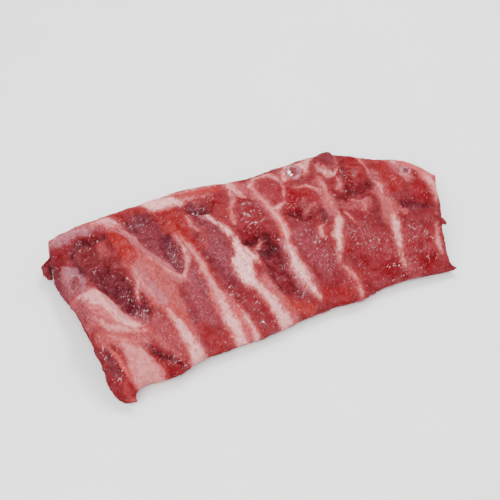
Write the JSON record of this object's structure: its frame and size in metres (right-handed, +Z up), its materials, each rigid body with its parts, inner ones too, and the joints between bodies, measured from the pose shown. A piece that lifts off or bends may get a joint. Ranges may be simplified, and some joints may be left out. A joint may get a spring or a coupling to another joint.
{
  "type": "raw rack of ribs",
  "caption": "Raw rack of pork ribs: a thick slab of meat on curved rib bones, with pale fat along the bones and cut backbone stubs at the chine edge.",
  "frame": {"origin": "middle of the bounding box in plan, on the surface that the rack lies on", "axes": "+X along the row of ribs, from the end with the widest ribs to the narrow end; +Y towards the thick chine edge; +Z up, with the meaty outer side on top"},
  "size_m": [0.311, 0.1648, 0.0378],
  "materials": {
    "meat": "wet raw meat, glossy, red with pale pink fat",
    "bone": "raw bone, damp, pale lilac white"
  },
  "bodies": {
    "root": {"meat": "meat", "rib_bone_1": "bone", "rib_bone_2": "bone", "rib_bone_3": "bone", "rib_bone_4": "bone", "rib_bone_5": "bone", "rib_bone_6": "bone", "rib_bone_7": "bone", "rib_bone_8": "bone", "backbone_stub_1": "bone", "backbone_stub_2": "bone"}
  },
  "joints": []
}
